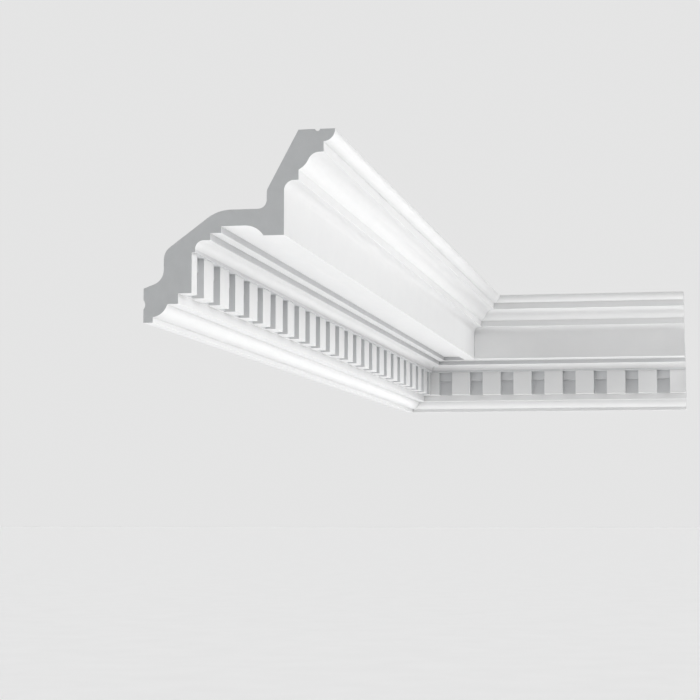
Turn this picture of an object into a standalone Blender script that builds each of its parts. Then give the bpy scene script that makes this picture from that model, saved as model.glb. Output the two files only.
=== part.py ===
"""Dentil coving that turns an inside corner: two lengths of one moulding, mitred together.

The long run lies along the left wall and the return run along the far wall. Each length is
moulded in one with its row of dentils. It is hollow behind, and has a glue groove in the face
that meets the wall and another in the face that meets the ceiling.

The section is drawn as (depth, height): depth out from the wall, height up from the foot.
A run adds a third measure, along, which starts at the other wall of the corner. In the
finished model +X points away from the left wall, +Y at the far wall and +Z up.
"""

import math

import bmesh
import bpy

# Lengths along the walls, from the corner to the square cut ends
LONG_RUN_LENGTH = 1.150
RETURN_RUN_LENGTH = 0.403
# Clear gap between the two mitred faces
MITRE_GAP = 0.0003

# Bed mouldings, from the foot upwards: a square foot, a thumb moulding, a ledge and a band
FOOT_DEPTH = 0.0077
FOOT_RISE = 0.0044
THUMB_DEPTH = 0.0118
THUMB_RISE = 0.0101
THUMB_TURN = math.radians(70)
LEDGE_DEPTH = 0.0089
BAND_RISE = 0.0083

# Dentils, and the recesses between them: a recess's floor stands proud of the band below it,
# and its upper part is shallower still
DENTIL_DEPTH = 0.0109
DENTIL_HEIGHT = 0.0324
DENTIL_WIDTH = 0.0261
RECESS_WIDTH = 0.0183
RECESS_DEPTH = 0.0096
RECESS_UPPER_DEPTH = 0.0050
RECESS_UPPER_HEIGHT = 0.0119
# Width of the block on each side of the mitre, and the least block left at a cut end
CORNER_BLOCK_WIDTH = 0.0127
LEAST_END_BLOCK = 0.0020

# Cove over the dentils, and two square steps up to the soffit
QUIRK_DEPTH = 0.0027
QUIRK_RISE = 0.0025
COVE_RADIUS = 0.0068
COVE_LEDGE = 0.0054
LOWER_STEP_RISE = 0.0055
LOWER_STEP_DEPTH = 0.0089
UPPER_STEP_RISE = 0.0053

# Soffit with its hollowed drip, and the plain upright corona
SOFFIT_DEPTH = 0.0195
DRIP_DEPTH = 0.0148
DRIP_DROP = 0.0082
CORONA_DEPTH = 0.0165
CORONA_RISE = 0.0352
CORONA_COVE_RADIUS = 0.0080
CORONA_LEDGE = 0.0036

# Crown mouldings: a fillet, an ogee, a second fillet and a quarter round at the ceiling
OGEE_FILLET_RISE = 0.0080
OGEE_ROUND_DEPTH = 0.0080
OGEE_ROUND_RISE = 0.0082
OGEE_HOLLOW_DEPTH = 0.0085
OGEE_HOLLOW_RISE = 0.0054
OGEE_LEDGE = 0.0035
CROWN_FILLET_RISE = 0.0083
CROWN_RADIUS = 0.0091
CROWN_EDGE = 0.0007

# Faces that are glued: plain strips on either side of a shallow rounded groove
CEILING_OUTER_STRIP = 0.0120
CEILING_GROOVE_WIDTH = 0.0040
CEILING_GROOVE_DEPTH = 0.0017
CEILING_INNER_STRIP = 0.0133
WALL_LOWER_STRIP = 0.0106
WALL_GROOVE_WIDTH = 0.0075
WALL_GROOVE_DEPTH = 0.0014
WALL_UPPER_STRIP = 0.0091

# Hollow back: thickness behind the corona, over the soffit and behind the band
CORONA_WALL = 0.0140
SOFFIT_WALL = 0.0130
BED_WALL = 0.0120
# Upright part of the back behind the corona
BACK_UPRIGHT = 0.0145
# The slope's two ends: behind the upper step, and above the tops of the dentils
SLOPE_BEHIND_STEP = 0.0028
SLOPE_ABOVE_DENTILS = 0.0009
# Rise of the back from the wall face to the upright part behind the recesses
BACK_TOE_RISE = 0.0061
# Radii of the back's five corners, from the ceiling down
BACK_RADII = (0.0080, 0.0087, 0.0330, 0.0120, 0.0120)
# Most of a side that one rounded corner may take up
LARGEST_CORNER_SHARE = 0.48

# Largest turn between two points of a curve
CURVE_STEP = math.radians(7.5)
QUARTER = math.pi / 2

PRIMED_WHITE = (0.86, 0.86, 0.85, 1.0)
CUT_FOAM_GREY = (0.42, 0.43, 0.44, 1.0)


def arc(start, end, turn):
    """Points of a circular arc after start, up to end: turn is its angle, positive for convex."""
    chord = math.dist(start, end)
    heading = math.atan2(end[1] - start[1], end[0] - start[0]) - turn / 2
    count = max(2, math.ceil(abs(turn) / CURVE_STEP))
    points = []
    for i in range(1, count):
        half = turn * i / count / 2
        reach = chord * math.sin(half) / math.sin(turn / 2)
        angle = heading + half
        points.append((start[0] + reach * math.cos(angle), start[1] + reach * math.sin(angle)))
    return points + [end]


def follow(start, members):
    """Points of an outline: each member is its depth, its rise and the turn of its curve, or 0."""
    points = [start]
    for depth, rise, turn in members:
        last = points[-1]
        end = (last[0] + depth, last[1] + rise)
        points += arc(last, end, turn) if turn else [end]
    return points


def round_corners(points, radii):
    """The open outline with each inner point rounded; a radius gives way to a short side."""
    rounded = [points[0]]
    for before, corner, after, radius in zip(points, points[1:], points[2:], radii):
        sides = (math.dist(before, corner), math.dist(corner, after))
        heading_in = math.atan2(corner[1] - before[1], corner[0] - before[0])
        heading_out = math.atan2(after[1] - corner[1], after[0] - corner[0])
        turn = math.remainder(heading_out - heading_in, math.tau)
        cut = min(radius * math.tan(abs(turn) / 2), LARGEST_CORNER_SHARE * min(sides))
        start = (corner[0] - cut * math.cos(heading_in), corner[1] - cut * math.sin(heading_in))
        end = (corner[0] + cut * math.cos(heading_out), corner[1] + cut * math.sin(heading_out))
        rounded += [start] + arc(start, end, turn)
    return rounded + [points[-1]]


def groove(width, depth):
    """Turn of the rounded groove that has this width and depth."""
    return -4 * math.atan(2 * depth / width)


def bed_profile():
    """From the foot at the wall up to the underside of the dentils."""
    return follow((0.0, 0.0), [
        (FOOT_DEPTH, 0, 0),
        (0, FOOT_RISE, 0),
        (THUMB_DEPTH, THUMB_RISE, THUMB_TURN),
        (LEDGE_DEPTH, 0, 0),
        (0, BAND_RISE, 0),
    ])


def crown_profile(dentil_top):
    """From the top edge of the dentils' faces up and out to the ceiling."""
    ogee_hollow_turn = 2 * math.atan2(OGEE_HOLLOW_RISE, OGEE_HOLLOW_DEPTH)
    ogee_chord = math.atan2(OGEE_ROUND_RISE, OGEE_ROUND_DEPTH)
    ogee_round_turn = max(2 * (ogee_hollow_turn - ogee_chord), CURVE_STEP)
    return follow(dentil_top, [
        (QUIRK_DEPTH, 0, 0),
        (0, QUIRK_RISE, 0),
        (COVE_RADIUS, COVE_RADIUS, -QUARTER),
        (COVE_LEDGE, 0, 0),
        (0, LOWER_STEP_RISE, 0),
        (LOWER_STEP_DEPTH, 0, 0),
        (0, UPPER_STEP_RISE, 0),
        (SOFFIT_DEPTH, 0, 0),
        (DRIP_DEPTH, -DRIP_DROP, -2 * math.atan2(DRIP_DROP, DRIP_DEPTH)),
        (CORONA_DEPTH, 0, 0),
        (0, CORONA_RISE, 0),
        (CORONA_COVE_RADIUS, CORONA_COVE_RADIUS, -QUARTER),
        (CORONA_LEDGE, 0, 0),
        (0, OGEE_FILLET_RISE, 0),
        (OGEE_ROUND_DEPTH, OGEE_ROUND_RISE, ogee_round_turn),
        (OGEE_HOLLOW_DEPTH, OGEE_HOLLOW_RISE, -ogee_hollow_turn),
        (OGEE_LEDGE, 0, 0),
        (0, CROWN_FILLET_RISE, 0),
        (CROWN_RADIUS, CROWN_RADIUS, QUARTER),
        (0, CROWN_EDGE, 0),
    ])


def ceiling_profile(crown_tip):
    """Along the ceiling face, from the crown's tip back to the hollow."""
    return follow(crown_tip, [
        (-CEILING_OUTER_STRIP, 0, 0),
        (-CEILING_GROOVE_WIDTH, 0, groove(CEILING_GROOVE_WIDTH, CEILING_GROOVE_DEPTH)),
        (-CEILING_INNER_STRIP, 0, 0),
    ])


def wall_profile():
    """Down the wall face, from the hollow to just above the foot."""
    top = WALL_LOWER_STRIP + WALL_GROOVE_WIDTH + WALL_UPPER_STRIP
    return follow((0.0, top), [
        (0, -WALL_UPPER_STRIP, 0),
        (0, -WALL_GROOVE_WIDTH, groove(WALL_GROOVE_WIDTH, WALL_GROOVE_DEPTH)),
    ])


def back_profile(ceiling_edge, wall_edge, dentil_top):
    """The hollow back, from the ceiling face down to the wall face."""
    step = dentil_top[0] + QUIRK_DEPTH + COVE_RADIUS + COVE_LEDGE + LOWER_STEP_DEPTH
    corona = step + SOFFIT_DEPTH + DRIP_DEPTH + CORONA_DEPTH
    soffit = dentil_top[1] + QUIRK_RISE + COVE_RADIUS + LOWER_STEP_RISE + UPPER_STEP_RISE
    upright_depth = corona - CORONA_WALL
    level_height = soffit + SOFFIT_WALL
    bed_depth = dentil_top[0] - DENTIL_DEPTH - BED_WALL
    return round_corners([
        ceiling_edge,
        (upright_depth, level_height + BACK_UPRIGHT),
        (upright_depth, level_height),
        (step - SLOPE_BEHIND_STEP, level_height),
        (bed_depth, dentil_top[1] + SLOPE_ABOVE_DENTILS),
        (bed_depth, wall_edge[1] + BACK_TOE_RISE),
        wall_edge,
    ], BACK_RADII)


def section():
    """The outline in two parts that meet at the dentils: below them, and above and behind."""
    lower = bed_profile()
    dentil_top = (lower[-1][0] + DENTIL_DEPTH, lower[-1][1] + DENTIL_HEIGHT)
    crown = crown_profile(dentil_top)
    ceiling = ceiling_profile(crown[-1])
    wall = wall_profile()
    back = back_profile(ceiling[-1], wall[0], dentil_top)
    return lower, crown + ceiling[1:-1] + back + wall[1:]


def recess_spans(length, dentil_face):
    """Start and end, along a run, of each whole recess between the corner and the cut end."""
    first = dentil_face + CORNER_BLOCK_WIDTH
    pitch = DENTIL_WIDTH + RECESS_WIDTH
    room = length - LEAST_END_BLOCK - first - RECESS_WIDTH
    count = max(0, math.floor(room / pitch) + 1)
    return [(first + i * pitch, first + i * pitch + RECESS_WIDTH) for i in range(count)]


def build_run(length, place):
    """Mesh of one run, from its mitre to its cut end; place turns depth, along into x, y."""
    lower, upper = section()
    spans = recess_spans(length, upper[0][0])
    height = max(point[1] for point in upper)
    bm = bmesh.new()

    def vertex(point, along):
        x, y = place(point[0], along)
        return bm.verts.new((x, y, point[1] - height))

    def line(point, stations=()):
        """Vertices along the run at one point of the section, from the mitre to the cut end."""
        mitre = point[0] + MITRE_GAP / 2 * math.sqrt(2)
        return [vertex(point, along) for along in (mitre, *stations, length)]

    edges = [along for span in spans for along in span]
    lower_lines = [line(point) for point in lower[:-1]] + [line(lower[-1], edges)]
    upper_lines = [line(upper[0], edges)] + [line(point) for point in upper[1:]]
    under = line((upper[0][0], lower[-1][1]), edges)

    around = upper_lines + lower_lines
    for near, far in zip(around, around[1:]):
        bm.faces.new(near + far[::-1])
    shelf = [vertex((upper[0][0] - RECESS_DEPTH, lower[-1][1]), along) for along in edges]
    add_dentils(bm, lower_lines[-1], shelf, under, upper_lines[0])
    floors = [[vertex(point, along) for point in floor_steps(upper[0])] for along in edges]
    add_recesses(bm, lower_lines[-1], shelf, floors, under, upper_lines[0])

    for end in (0, -1):
        cap = [each[end] for each in lower_lines + [under] + upper_lines]
        bm.faces.new(cap).material_index = 1
    bmesh.ops.recalc_face_normals(bm, faces=bm.faces)
    return bm


def add_dentils(bm, foot, shelf, under, top):
    """Underside and face of every block, between the recesses and out to both ends."""
    for i in range(0, len(foot), 2):
        right, left = shelf[i:i + 1], shelf[max(i - 1, 0):i]
        bm.faces.new([foot[i], foot[i + 1], *right, under[i + 1], under[i], *left])
        bm.faces.new([under[i], under[i + 1], top[i + 1], top[i]])


def floor_steps(dentil_top):
    """The recess's floor above its foot: up to the step, out over it and up to the top."""
    deep = dentil_top[0] - RECESS_DEPTH
    shallow = dentil_top[0] - RECESS_UPPER_DEPTH
    step_height = dentil_top[1] - RECESS_UPPER_HEIGHT
    return [(deep, step_height), (shallow, step_height), (shallow, dentil_top[1])]


def add_recesses(bm, foot, shelf, floors, under, top):
    """Underside, stepped floor, ceiling and two side walls of every recess."""
    for i in range(0, len(shelf), 2):
        bm.faces.new([foot[i + 1], foot[i + 2], shelf[i + 1], shelf[i]])
        left_side = [shelf[i], *floors[i], top[i + 1]]
        right_side = [shelf[i + 1], *floors[i + 1], top[i + 2]]
        for a, b, c, d in zip(left_side, left_side[1:], right_side[1:], right_side):
            bm.faces.new([a, b, c, d])
        bm.faces.new([under[i + 1], *left_side])
        bm.faces.new([under[i + 2], *right_side])


def matte_finish(name, colour, roughness):
    """A plain dielectric finish."""
    material = bpy.data.materials.new(name)
    material.use_nodes = True
    shader = material.node_tree.nodes["Principled BSDF"]
    shader.inputs["Base Color"].default_value = colour
    shader.inputs["Roughness"].default_value = roughness
    shader.inputs["Metallic"].default_value = 0.0
    return material


def add_run(name, length, place, parent):
    """One run as an object, hung from the corner's empty."""
    mesh = bpy.data.meshes.new(name)
    bm = build_run(length, place)
    bm.to_mesh(mesh)
    bm.free()
    mesh.materials.append(matte_finish(name + "_primed", PRIMED_WHITE, 0.55))
    mesh.materials.append(matte_finish(name + "_cut", CUT_FOAM_GREY, 0.85))
    mesh.shade_smooth()
    mesh.set_sharp_from_angle(angle=3 * CURVE_STEP)
    run = bpy.data.objects.new(name, mesh)
    run.parent = parent
    bpy.context.collection.objects.link(run)
    return run


def main():
    for old in list(bpy.data.objects):
        bpy.data.objects.remove(old, do_unlink=True)

    # The model's origin is on the long run's ceiling face, halfway along the wall and in the
    # middle of the plain strip between the hollow and the glue groove
    _, upper = section()
    projection = max(point[0] for point in upper)
    strip_middle = CEILING_OUTER_STRIP + CEILING_GROOVE_WIDTH + CEILING_INNER_STRIP / 2
    corner = bpy.data.objects.new("corner", None)
    corner.location = (strip_middle - projection, LONG_RUN_LENGTH / 2, 0.0)
    bpy.context.collection.objects.link(corner)

    add_run("long_run", LONG_RUN_LENGTH, lambda depth, along: (depth, -along), corner)
    add_run("return_run", RETURN_RUN_LENGTH, lambda depth, along: (along, -depth), corner)


main()
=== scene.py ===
"""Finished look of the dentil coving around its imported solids.

Each run is modelled again from the same sizes, with finer curves and softened arrises, and
replaces its CAD node. Lengths are in metres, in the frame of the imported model: +X points away
from the left wall, +Y at the far wall and +Z up.
"""

import math

import bmesh
import bpy
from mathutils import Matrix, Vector


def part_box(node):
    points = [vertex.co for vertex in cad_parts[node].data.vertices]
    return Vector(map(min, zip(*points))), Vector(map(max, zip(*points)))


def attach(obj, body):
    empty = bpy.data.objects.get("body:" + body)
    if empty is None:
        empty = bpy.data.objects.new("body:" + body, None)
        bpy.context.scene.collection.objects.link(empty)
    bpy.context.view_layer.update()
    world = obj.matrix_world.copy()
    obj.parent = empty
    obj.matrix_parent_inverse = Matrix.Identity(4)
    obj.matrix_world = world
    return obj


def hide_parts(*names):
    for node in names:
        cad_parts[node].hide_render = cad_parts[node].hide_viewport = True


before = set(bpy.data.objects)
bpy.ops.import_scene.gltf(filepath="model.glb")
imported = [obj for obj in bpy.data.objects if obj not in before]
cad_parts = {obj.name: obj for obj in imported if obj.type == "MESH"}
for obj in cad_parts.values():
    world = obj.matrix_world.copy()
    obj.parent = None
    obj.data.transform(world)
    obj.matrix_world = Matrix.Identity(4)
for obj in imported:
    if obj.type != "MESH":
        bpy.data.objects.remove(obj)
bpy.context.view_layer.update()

# The corner of the room at ceiling height, and the ends of the two runs
LONG_LOW, LONG_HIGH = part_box("long_run")
RETURN_LOW, RETURN_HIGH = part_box("return_run")
CORNER_X = LONG_LOW[0]
CORNER_Y = RETURN_HIGH[1]
LONG_RUN_LENGTH = CORNER_Y - LONG_LOW[1]
RETURN_RUN_LENGTH = RETURN_HIGH[0] - CORNER_X
MITRE_GAP = 0.0003

# Bed mouldings, from the foot upwards: a square foot, a thumb moulding, a ledge and a band
FOOT_DEPTH = 0.0077
FOOT_RISE = 0.0044
THUMB_DEPTH = 0.0118
THUMB_RISE = 0.0101
THUMB_TURN = math.radians(70)
LEDGE_DEPTH = 0.0089
BAND_RISE = 0.0083

# Dentils, and the recesses between them: a recess's floor stands proud of the band below it,
# and its upper part is shallower still
DENTIL_DEPTH = 0.0109
DENTIL_HEIGHT = 0.0324
DENTIL_WIDTH = 0.0261
RECESS_WIDTH = 0.0183
RECESS_DEPTH = 0.0096
RECESS_UPPER_DEPTH = 0.0050
RECESS_UPPER_HEIGHT = 0.0119
CORNER_BLOCK_WIDTH = 0.0127
LEAST_END_BLOCK = 0.0020

# Cove over the dentils, and two square steps up to the soffit
QUIRK_DEPTH = 0.0027
QUIRK_RISE = 0.0025
COVE_RADIUS = 0.0068
COVE_LEDGE = 0.0054
LOWER_STEP_RISE = 0.0055
LOWER_STEP_DEPTH = 0.0089
UPPER_STEP_RISE = 0.0053

# Soffit with its hollowed drip, and the plain upright corona
SOFFIT_DEPTH = 0.0195
DRIP_DEPTH = 0.0148
DRIP_DROP = 0.0082
CORONA_DEPTH = 0.0165
CORONA_RISE = 0.0352
CORONA_COVE_RADIUS = 0.0080
CORONA_LEDGE = 0.0036

# Crown mouldings: a fillet, an ogee, a second fillet and a quarter round at the ceiling
OGEE_FILLET_RISE = 0.0080
OGEE_ROUND_DEPTH = 0.0080
OGEE_ROUND_RISE = 0.0082
OGEE_HOLLOW_DEPTH = 0.0085
OGEE_HOLLOW_RISE = 0.0054
OGEE_LEDGE = 0.0035
CROWN_FILLET_RISE = 0.0083
CROWN_RADIUS = 0.0091
CROWN_EDGE = 0.0007

# Glued faces: plain strips on either side of a shallow rounded groove
CEILING_OUTER_STRIP = 0.0120
CEILING_GROOVE_WIDTH = 0.0040
CEILING_GROOVE_DEPTH = 0.0017
CEILING_INNER_STRIP = 0.0133
WALL_LOWER_STRIP = 0.0106
WALL_GROOVE_WIDTH = 0.0075
WALL_GROOVE_DEPTH = 0.0014
WALL_UPPER_STRIP = 0.0091

# Hollow back
CORONA_WALL = 0.0140
SOFFIT_WALL = 0.0130
BED_WALL = 0.0120
BACK_UPRIGHT = 0.0145
SLOPE_BEHIND_STEP = 0.0028
SLOPE_ABOVE_DENTILS = 0.0009
BACK_TOE_RISE = 0.0061
BACK_RADII = (0.0080, 0.0087, 0.0330, 0.0120, 0.0120)
LARGEST_CORNER_SHARE = 0.48

CURVE_STEP = math.radians(5)
QUARTER = math.pi / 2

# Softened arrises of a moulded piece: how wide on the face and on the back, in how many facets,
# with what shape, where 0.5 is round, and from which edge angle
FACE_ARRIS = 0.00030
BACK_ARRIS = 0.00012
ARRIS_FACETS = 3
ARRIS_SHAPE = 0.5
ARRIS_ANGLE = math.radians(24)

# Shading: edges stay sharp from an angle between the 30 degrees of the arrises' facets and the 45
# of the mitre, whose sawn face would otherwise bend the shading along a whole run. The other
# corner normals are weighted by face area, which a factor of 50 leaves as it is
SHARP_ANGLE = math.radians(40)
PLAIN_AREA_WEIGHT = 50

# Order of the materials on each piece
# The last material is primer with painted shade, greyer where shade falls in the recesses and under
# the soffit
PRIMED, RAW_BACK, SAWN, PAINTED_SHADE_PRIMER = range(4)


def arc(start, end, turn):
    """Points of a circular arc after start, up to end: turn is its angle, positive for convex."""
    chord = math.dist(start, end)
    heading = math.atan2(end[1] - start[1], end[0] - start[0]) - turn / 2
    count = max(2, math.ceil(abs(turn) / CURVE_STEP))
    points = []
    for i in range(1, count):
        half = turn * i / count / 2
        reach = chord * math.sin(half) / math.sin(turn / 2)
        angle = heading + half
        points.append((start[0] + reach * math.cos(angle), start[1] + reach * math.sin(angle)))
    return points + [end]


def follow(start, members):
    """Points of an outline: each member is its depth, its rise and the turn of its curve, or 0."""
    points = [start]
    for depth, rise, turn in members:
        last = points[-1]
        end = (last[0] + depth, last[1] + rise)
        points += arc(last, end, turn) if turn else [end]
    return points


def round_corners(points, radii):
    """The open outline with each inner point rounded; a radius gives way to a short side."""
    rounded = [points[0]]
    for before, corner, after, radius in zip(points, points[1:], points[2:], radii):
        sides = (math.dist(before, corner), math.dist(corner, after))
        heading_in = math.atan2(corner[1] - before[1], corner[0] - before[0])
        heading_out = math.atan2(after[1] - corner[1], after[0] - corner[0])
        turn = math.remainder(heading_out - heading_in, math.tau)
        cut = min(radius * math.tan(abs(turn) / 2), LARGEST_CORNER_SHARE * min(sides))
        start = (corner[0] - cut * math.cos(heading_in), corner[1] - cut * math.sin(heading_in))
        end = (corner[0] + cut * math.cos(heading_out), corner[1] + cut * math.sin(heading_out))
        rounded += [start] + arc(start, end, turn)
    return rounded + [points[-1]]


def groove(width, depth):
    """Turn of the rounded groove that has this width and depth."""
    return -4 * math.atan(2 * depth / width)


def bed_profile():
    """From the foot at the wall up to the underside of the dentils."""
    return follow((0.0, 0.0), [
        (FOOT_DEPTH, 0, 0),
        (0, FOOT_RISE, 0),
        (THUMB_DEPTH, THUMB_RISE, THUMB_TURN),
        (LEDGE_DEPTH, 0, 0),
        (0, BAND_RISE, 0),
    ])


def crown_profile(dentil_top):
    """From the top edge of the dentils' faces up and out to the ceiling."""
    ogee_hollow_turn = 2 * math.atan2(OGEE_HOLLOW_RISE, OGEE_HOLLOW_DEPTH)
    ogee_chord = math.atan2(OGEE_ROUND_RISE, OGEE_ROUND_DEPTH)
    ogee_round_turn = max(2 * (ogee_hollow_turn - ogee_chord), CURVE_STEP)
    return follow(dentil_top, [
        (QUIRK_DEPTH, 0, 0),
        (0, QUIRK_RISE, 0),
        (COVE_RADIUS, COVE_RADIUS, -QUARTER),
        (COVE_LEDGE, 0, 0),
        (0, LOWER_STEP_RISE, 0),
        (LOWER_STEP_DEPTH, 0, 0),
        (0, UPPER_STEP_RISE, 0),
        (SOFFIT_DEPTH, 0, 0),
        (DRIP_DEPTH, -DRIP_DROP, -2 * math.atan2(DRIP_DROP, DRIP_DEPTH)),
        (CORONA_DEPTH, 0, 0),
        (0, CORONA_RISE, 0),
        (CORONA_COVE_RADIUS, CORONA_COVE_RADIUS, -QUARTER),
        (CORONA_LEDGE, 0, 0),
        (0, OGEE_FILLET_RISE, 0),
        (OGEE_ROUND_DEPTH, OGEE_ROUND_RISE, ogee_round_turn),
        (OGEE_HOLLOW_DEPTH, OGEE_HOLLOW_RISE, -ogee_hollow_turn),
        (OGEE_LEDGE, 0, 0),
        (0, CROWN_FILLET_RISE, 0),
        (CROWN_RADIUS, CROWN_RADIUS, QUARTER),
        (0, CROWN_EDGE, 0),
    ])


def ceiling_profile(crown_tip):
    """Along the ceiling face, from the crown's tip back to the hollow."""
    return follow(crown_tip, [
        (-CEILING_OUTER_STRIP, 0, 0),
        (-CEILING_GROOVE_WIDTH, 0, groove(CEILING_GROOVE_WIDTH, CEILING_GROOVE_DEPTH)),
        (-CEILING_INNER_STRIP, 0, 0),
    ])


def wall_profile():
    """Down the wall face, from the hollow to just above the foot."""
    top = WALL_LOWER_STRIP + WALL_GROOVE_WIDTH + WALL_UPPER_STRIP
    return follow((0.0, top), [
        (0, -WALL_UPPER_STRIP, 0),
        (0, -WALL_GROOVE_WIDTH, groove(WALL_GROOVE_WIDTH, WALL_GROOVE_DEPTH)),
    ])


def back_profile(ceiling_edge, wall_edge, dentil_top):
    """The hollow back, from the ceiling face down to the wall face."""
    step = dentil_top[0] + QUIRK_DEPTH + COVE_RADIUS + COVE_LEDGE + LOWER_STEP_DEPTH
    corona = step + SOFFIT_DEPTH + DRIP_DEPTH + CORONA_DEPTH
    soffit = dentil_top[1] + QUIRK_RISE + COVE_RADIUS + LOWER_STEP_RISE + UPPER_STEP_RISE
    upright_depth = corona - CORONA_WALL
    level_height = soffit + SOFFIT_WALL
    bed_depth = dentil_top[0] - DENTIL_DEPTH - BED_WALL
    return round_corners([
        ceiling_edge,
        (upright_depth, level_height + BACK_UPRIGHT),
        (upright_depth, level_height),
        (step - SLOPE_BEHIND_STEP, level_height),
        (bed_depth, dentil_top[1] + SLOPE_ABOVE_DENTILS),
        (bed_depth, wall_edge[1] + BACK_TOE_RISE),
        wall_edge,
    ], BACK_RADII)


def recess_spans(length, dentil_face):
    """Start and end, along a run, of each whole recess between the corner and the cut end."""
    first = dentil_face + CORNER_BLOCK_WIDTH
    pitch = DENTIL_WIDTH + RECESS_WIDTH
    room = length - LEAST_END_BLOCK - first - RECESS_WIDTH
    count = max(0, math.floor(room / pitch) + 1)
    return [(first + i * pitch, first + i * pitch + RECESS_WIDTH) for i in range(count)]


def build_run(length, place):
    """One run as a bmesh, from its mitre to its cut end; place turns depth, along into x, y."""
    lower = bed_profile()
    dentil_top = (lower[-1][0] + DENTIL_DEPTH, lower[-1][1] + DENTIL_HEIGHT)
    crown = crown_profile(dentil_top)
    ceiling = ceiling_profile(crown[-1])
    wall = wall_profile()
    back = back_profile(ceiling[-1], wall[0], dentil_top)
    behind = ceiling[1:-1] + back + wall[1:]
    height = crown[-1][1]
    spans = recess_spans(length, dentil_top[0])
    edges = [along for span in spans for along in span]
    bm = bmesh.new()

    def vertex(point, along):
        x, y = place(point[0], along)
        return bm.verts.new((x, y, point[1] - height))

    def line(point, stations=()):
        """Vertices along the run at one point of the section, from the mitre to the cut end."""
        mitre = point[0] + MITRE_GAP / 2 * math.sqrt(2)
        return [vertex(point, along) for along in (mitre, *stations, length)]

    def skin(lines, material):
        """Faces between each two neighbouring lines of vertices."""
        for near, far in zip(lines, lines[1:]):
            bm.faces.new(near + far[::-1]).material_index = material

    bed_lines = [line(point) for point in lower[:-1]] + [line(lower[-1], edges)]
    crown_lines = [line(dentil_top, edges)] + [line(point) for point in crown[1:]]
    back_lines = [line(point) for point in behind]
    under = line((dentil_top[0], lower[-1][1]), edges)
    skin(bed_lines, PRIMED)
    # Painted shade: the quirk and the uprights under the soffit take the greyer primer
    for i, tucked in enumerate(tucked_faces(crown)):
        skin(crown_lines[i:i + 2], PAINTED_SHADE_PRIMER if tucked else PRIMED)
    skin([crown_lines[-1]] + back_lines + [bed_lines[0]], RAW_BACK)

    foot, top = bed_lines[-1], crown_lines[0]
    shelf = [vertex((dentil_top[0] - RECESS_DEPTH, lower[-1][1]), along) for along in edges]
    floors = [[vertex(point, along) for point in floor_steps(dentil_top)] for along in edges]
    add_dentils(bm, foot, shelf, under, top)
    add_recesses(bm, foot, shelf, floors, under, top)

    for end in (0, -1):
        cap = [each[end] for each in bed_lines + [under] + crown_lines + back_lines]
        bm.faces.new(cap).material_index = SAWN
    bmesh.ops.recalc_face_normals(bm, faces=bm.faces)
    return bm


def tucked_faces(crown):
    """For each face over the dentils, whether it is the quirk or an upright under the soffit, which
    take painted shade.
    """
    under_soffit = crown[0][0] + QUIRK_DEPTH + COVE_RADIUS + COVE_LEDGE + LOWER_STEP_DEPTH
    tucked = [low[0] == high[0] < under_soffit + SOFFIT_DEPTH for low, high in zip(crown, crown[1:])]
    return [True] + tucked[1:]


def add_dentils(bm, foot, shelf, under, top):
    """Underside and face of every block, between the recesses and out to both ends."""
    for i in range(0, len(foot), 2):
        right, left = shelf[i:i + 1], shelf[max(i - 1, 0):i]
        bm.faces.new([foot[i], foot[i + 1], *right, under[i + 1], under[i], *left])
        bm.faces.new([under[i], under[i + 1], top[i + 1], top[i]])


def floor_steps(dentil_top):
    """The recess's floor above its foot: up to the step, out over it and up to the top."""
    deep = dentil_top[0] - RECESS_DEPTH
    shallow = dentil_top[0] - RECESS_UPPER_DEPTH
    step_height = dentil_top[1] - RECESS_UPPER_HEIGHT
    return [(deep, step_height), (shallow, step_height), (shallow, dentil_top[1])]


def add_recesses(bm, foot, shelf, floors, under, top):
    """Underside, stepped floor, ceiling and two side walls of every recess."""
    for i in range(0, len(shelf), 2):
        bm.faces.new([foot[i + 1], foot[i + 2], shelf[i + 1], shelf[i]])
        left_side = [shelf[i], *floors[i], top[i + 1]]
        right_side = [shelf[i + 1], *floors[i + 1], top[i + 2]]
        # Painted shade: the stepped floor, ceiling and side walls of each recess take the greyer
        # primer
        for a, b, c, d in zip(left_side, left_side[1:], right_side[1:], right_side):
            bm.faces.new([a, b, c, d]).material_index = PAINTED_SHADE_PRIMER
        bm.faces.new([under[i + 1], *left_side]).material_index = PAINTED_SHADE_PRIMER
        bm.faces.new([under[i + 2], *right_side]).material_index = PAINTED_SHADE_PRIMER


def soften_arrises(bm, material, width):
    """Rounds the arrises beside the faces of one material; sawn ends and inner corners stay sharp."""
    edges = []
    for edge in bm.edges:
        touched = {face.material_index for face in edge.link_faces}
        if material in touched and SAWN not in touched:
            if edge.calc_face_angle_signed(0.0) > ARRIS_ANGLE:
                edges.append(edge)
    bmesh.ops.bevel(
        bm,
        geom=edges,
        offset=width,
        offset_type="OFFSET",
        segments=ARRIS_FACETS,
        profile=ARRIS_SHAPE,
        affect="EDGES",
        clamp_overlap=True,
        miter_outer="ARC",
        material=-1,
    )


def add_run(name, node, length, place, materials):
    """One run as a finished piece that stands for its CAD node."""
    bm = build_run(length, place)
    soften_arrises(bm, PRIMED, FACE_ARRIS)
    soften_arrises(bm, RAW_BACK, BACK_ARRIS)
    mesh = bpy.data.meshes.new(name)
    bm.to_mesh(mesh)
    bm.free()
    for material in materials:
        mesh.materials.append(material)
    mesh.shade_smooth()
    mesh.set_sharp_from_angle(angle=SHARP_ANGLE)
    piece = bpy.data.objects.new(name, mesh)
    bpy.context.collection.objects.link(piece)
    weighted = piece.modifiers.new("flat_faces_stay_flat", "WEIGHTED_NORMAL")
    weighted.mode = "FACE_AREA"
    weighted.weight = PLAIN_AREA_WEIGHT
    weighted.keep_sharp = True
    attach(piece, "root")
    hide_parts(node)


# Places of the colour sockets on a mix node
MIX_FACTOR = 0
MIX_FIRST = 6
MIX_SECOND = 7
MIX_RESULT = 2

# Refractive index of the primer, the foam and the set's paint
COAT_IOR = 1.46


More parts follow.
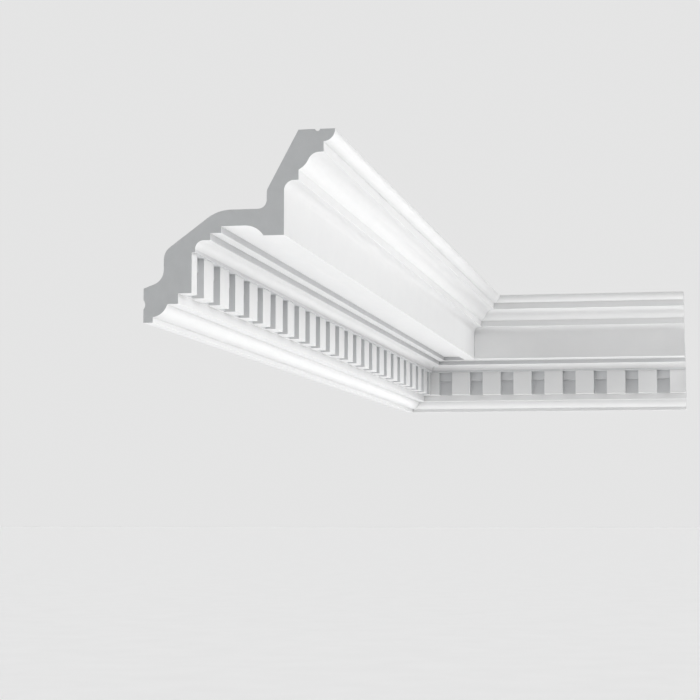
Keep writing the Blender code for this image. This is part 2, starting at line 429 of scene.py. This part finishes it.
class Finish:
    """A procedural dielectric material that is put together node by node."""

    def __init__(self, name):
        self.material = bpy.data.materials.new(name)
        self.material.use_nodes = True
        self.nodes = self.material.node_tree.nodes
        self.links = self.material.node_tree.links
        self.shader = self.nodes["Principled BSDF"]
        self.place = self.nodes.new("ShaderNodeTexCoord").outputs["Object"]

    def node(self, kind, inputs=(), **settings):
        """Adds a node; inputs is pairs of socket and value, where a value may be an output."""
        made = self.nodes.new("ShaderNode" + kind)
        for key, value in settings.items():
            setattr(made, key, value)
        for socket, value in inputs:
            self.feed(made.inputs[socket], value)
        return made

    def feed(self, socket, value):
        """Links a socket to an output, or gives it a plain value."""
        if isinstance(value, bpy.types.NodeSocket):
            self.links.new(value, socket)
        else:
            socket.default_value = value

    def noise(self, size, detail=2.0, roughness=0.5):
        """Noise from 0 to 1 whose blotches are about size metres across."""
        made = self.node("TexNoise", [
            ("Vector", self.place),
            ("Scale", 1 / size),
            ("Detail", detail),
            ("Roughness", roughness),
        ])
        return made.outputs["Fac"]

    def pores(self, size):
        """Distance from the middle of the nearest pore, from 0 to about 1."""
        made = self.node("TexVoronoi", [
            ("Vector", self.place),
            ("Scale", 1 / size),
            ("Randomness", 1.0),
        ], feature="F1")
        return made.outputs["Distance"]

    def span(self, value, low, high, to_low, to_high):
        """The value from low to high, carried over to another span and held inside it."""
        made = self.node("MapRange", [
            ("Value", value),
            ("From Min", low),
            ("From Max", high),
            ("To Min", to_low),
            ("To Max", to_high),
        ])
        return made.outputs["Result"]

    def blend(self, factor, first, second):
        """Two colours mixed by a factor."""
        made = self.node("Mix", data_type="RGBA")
        self.feed(made.inputs[MIX_FACTOR], factor)
        self.feed(made.inputs[MIX_FIRST], first)
        self.feed(made.inputs[MIX_SECOND], second)
        return made.outputs[MIX_RESULT]

    def relief(self, layers):
        """Bumps stacked from (height from 0 to 1, depth in metres) pairs."""
        normal = None
        for height, depth in layers:
            made = self.node("Bump", [("Height", height), ("Distance", depth), ("Strength", 1.0)])
            if normal:
                self.links.new(normal, made.inputs["Normal"])
            normal = made.outputs["Normal"]
        self.links.new(normal, self.shader.inputs["Normal"])

    def finish(self, colour, roughness):
        """Joins colour and roughness to the shader and returns the material."""
        self.links.new(colour, self.shader.inputs["Base Color"])
        self.links.new(roughness, self.shader.inputs["Roughness"])
        self.shader.inputs["Metallic"].default_value = 0.0
        self.shader.inputs["IOR"].default_value = COAT_IOR
        return self.material


# Primer: the sizes across of its mottling, stipple, sheen and gentle waves, and two depths
PRIMER_MOTTLE = 0.022
PRIMER_STIPPLE = 0.0007
PRIMER_SHEEN = 0.006
PRIMER_WAVE = 0.030
PRIMER_WAVE_DEPTH = 0.00005
PRIMER_STIPPLE_DEPTH = 0.000012

# Unprimed moulded skin: the sizes across of its clouds, blisters and grain, and their depths
SKIN_CLOUD = 0.014
SKIN_BLISTER = 0.0035
SKIN_GRAIN = 0.0011
SKIN_CLOUD_DEPTH = 0.00030
SKIN_BLISTER_DEPTH = 0.00012
SKIN_GRAIN_DEPTH = 0.00008

# Sawn foam: the sizes across of its cells, clouds and saw waves, and two depths
FOAM_CELL = 0.00042
FOAM_CLOUD = 0.009
FOAM_WAVE = 0.004
FOAM_WAVE_DEPTH = 0.00006
FOAM_CELL_DEPTH = 0.00007


def primed(name, dark, light, fleck):
    """Smooth factory primer over moulded foam: faint mottling and a very fine stipple."""
    look = Finish(name)
    mottle = look.span(look.noise(PRIMER_MOTTLE, 3.0), 0.30, 0.70, 0.0, 1.0)
    stipple = look.span(look.noise(PRIMER_STIPPLE, 2.0, 0.6), 0.30, 0.70, 0.0, 1.0)
    broad = look.blend(mottle, dark, light)
    colour = look.blend(look.span(stipple, 0, 1, 0.0, 0.35), broad, fleck)
    roughness = look.span(look.noise(PRIMER_SHEEN, 2.0), 0.25, 0.75, 0.50, 0.64)
    look.relief([
        (look.noise(PRIMER_WAVE, 2.0), PRIMER_WAVE_DEPTH),
        (stipple, PRIMER_STIPPLE_DEPTH),
    ])
    return look.finish(colour, roughness)


def raw_back():
    """Unprimed moulded skin of the hollow back and the glued faces, rougher and less even."""
    look = Finish("raw_moulded_back")
    cloud = look.span(look.noise(SKIN_CLOUD, 5.0, 0.6), 0.32, 0.68, 0.0, 1.0)
    blisters = look.span(look.pores(SKIN_BLISTER), 0.0, 0.45, 0.0, 1.0)
    broad = look.blend(cloud, (0.70, 0.69, 0.655, 1), (0.79, 0.785, 0.76, 1))
    colour = look.blend(look.span(blisters, 0, 1, 0.25, 0.0), broad, (0.62, 0.61, 0.58, 1))
    roughness = look.span(cloud, 0, 1, 0.62, 0.80)
    grain = look.noise(SKIN_GRAIN, 3.0, 0.6)
    look.relief([
        (cloud, SKIN_CLOUD_DEPTH),
        (blisters, SKIN_BLISTER_DEPTH),
        (grain, SKIN_GRAIN_DEPTH),
    ])
    return look.finish(colour, roughness)


def sawn_foam_painted_shade():
    """Section of the rigid foam where a run is sawn, with fine open pores; its even cool grey is
    painted shade that stands in for the shade on the cut ends.
    """
    look = Finish("sawn_foam_painted_shade")
    cells = look.span(look.pores(FOAM_CELL), 0.10, 0.50, 0.0, 1.0)
    cloud = look.span(look.noise(FOAM_CLOUD, 3.0), 0.30, 0.70, 0.0, 1.0)
    # Painted shade: these cool greys stand in for the shade on the cut ends; the darker pores are the
    # foam's own
    broad = look.blend(cloud, (0.537, 0.551, 0.559, 1), (0.562, 0.575, 0.583, 1))
    colour = look.blend(look.span(cells, 0, 1, 0.30, 0.0), broad, (0.467, 0.478, 0.488, 1))
    roughness = look.span(cells, 0, 1, 0.92, 0.78)
    look.relief([(look.noise(FOAM_WAVE, 2.0), FOAM_WAVE_DEPTH), (cells, FOAM_CELL_DEPTH)])
    return look.finish(colour, roughness)


def plain_surface(name, low, high, size):
    """Matt surface of the set, with the faint unevenness of painted board."""
    look = Finish(name)
    tone = look.span(look.noise(size, 3.0), 0.3, 0.7, 0.0, 1.0)
    colour = look.blend(tone, (low, low, low, 1), (high, high, high, 1))
    look.shader.inputs["Specular IOR Level"].default_value = 0.0
    return look.finish(colour, look.span(tone, 0, 1, 0.85, 0.95))


# The camera stands where the photograph was taken from, with an upright shift lens
IMAGE_SIDE = 700
FOCAL_PIXELS = 1683.2
SENSOR = 36.0
CAMERA_PLACE = (0.31735, -1.8449, -0.3044)
CAMERA_TILT = math.radians(93.117)
CAMERA_BEARING = math.radians(8.936)
SHIFT_X = -0.1503
SHIFT_Y = 0.1097
NEAREST_SEEN = 0.05
FARTHEST_SEEN = 1200.0
camera_data = bpy.data.cameras.new("camera")
camera_data.sensor_width = SENSOR
camera_data.lens = FOCAL_PIXELS * SENSOR / IMAGE_SIDE
camera_data.shift_x = SHIFT_X
camera_data.shift_y = SHIFT_Y
camera_data.clip_start = NEAREST_SEEN
camera_data.clip_end = FARTHEST_SEEN
camera = bpy.data.objects.new("camera", camera_data)
camera.location = CAMERA_PLACE
camera.rotation_euler = (CAMERA_TILT, 0.0, CAMERA_BEARING)
bpy.context.collection.objects.link(camera)
bpy.context.scene.camera = camera

# Primer with painted shade: its greyer colour stands in for the shade inside the recesses and on what
# is tucked under the soffit
primed_white = primed(
    "primed_white",
    (0.800, 0.803, 0.806, 1),
    (0.820, 0.821, 0.820, 1),
    (0.775, 0.778, 0.782, 1),
)
primed_painted_shade = primed(
    "primed_painted_shade",
    (0.655, 0.663, 0.671, 1),
    (0.685, 0.692, 0.699, 1),
    (0.620, 0.627, 0.635, 1),
)
materials = [primed_white, raw_back(), sawn_foam_painted_shade(), primed_painted_shade]
add_run(
    "long_run_finished",
    "long_run",
    LONG_RUN_LENGTH,
    lambda depth, along: (CORNER_X + depth, CORNER_Y - along),
    materials,
)
add_run(
    "return_run_finished",
    "return_run",
    RETURN_RUN_LENGTH,
    lambda depth, along: (CORNER_X + along, CORNER_Y - depth),
    materials,
)

# Pale floor, far below a coving that hangs at ceiling height; it takes no part in its lighting
FLOOR_Z = -2.40
FLOOR_HALF = 400.0
FLOOR_DARK = 0.91
FLOOR_LIGHT = 0.93
FLOOR_BLOTCH = 0.8
floor_mesh = bpy.data.meshes.new("floor")
floor_mesh.from_pydata(
    [(x * FLOOR_HALF, y * FLOOR_HALF, FLOOR_Z) for x, y in ((-1, -1), (1, -1), (1, 1), (-1, 1))],
    [],
    [(0, 1, 2, 3)],
)
floor_mesh.materials.append(plain_surface("pale_floor", FLOOR_DARK, FLOOR_LIGHT, FLOOR_BLOTCH))
floor = bpy.data.objects.new("floor", floor_mesh)
floor.visible_diffuse = False
floor.visible_glossy = False
floor.visible_shadow = False
bpy.context.collection.objects.link(floor)

# Soft studio light from broad sources, each at a height and a bearing: 0 is to the right, 90
# behind the far wall, 180 to the left and 270 on the camera's side. The last one is for the floor
# and for views from above. Name, height, bearing, breadth (all in degrees) and strength
SOFT_LIGHTS = (
    ("right", 18, 0, 45, 1.437),
    ("front_right", 18, 315, 45, 1.161),
    ("front_left", 18, 225, 45, 0.696),
    ("low_left", -15, 202.5, 45, 1.092),
    ("low_behind_right", -15, 67.5, 45, 1.614),
    ("deep_behind_left", -48, 135, 45, 0.795),
    ("deep_front_left", -48, 225, 45, 0.843),
    ("below", -80, 0, 45, 1.779),
    ("overhead", 90, 0, 5, 1.65),
)


def add_soft_light(name, height, bearing, breadth, strength):
    """One broad distant light that shines from its height and bearing on the coving."""
    light = bpy.data.lights.new(name, "SUN")
    light.angle = math.radians(breadth)
    light.energy = strength
    source = bpy.data.objects.new(name, light)
    height, bearing = math.radians(height), math.radians(bearing)
    toward = Vector((
        math.cos(height) * math.cos(bearing),
        math.cos(height) * math.sin(bearing),
        math.sin(height),
    ))
    source.rotation_euler = toward.to_track_quat("Z", "Y").to_euler()
    bpy.context.collection.objects.link(source)


for soft_light in SOFT_LIGHTS:
    add_soft_light(*soft_light)

# Pale surround, which the camera sees but which doesn't light the coving
SURROUND_STRENGTH = 0.78
world = bpy.data.worlds.new("studio")
world.use_nodes = True
surround = world.node_tree.nodes["Background"]
surround.inputs["Color"].default_value = (1.0, 1.0, 1.0, 1.0)
surround.inputs["Strength"].default_value = SURROUND_STRENGTH
world.cycles_visibility.diffuse = False
world.cycles_visibility.glossy = False
bpy.context.scene.world = world
bpy.context.scene.view_settings.view_transform = "Standard"
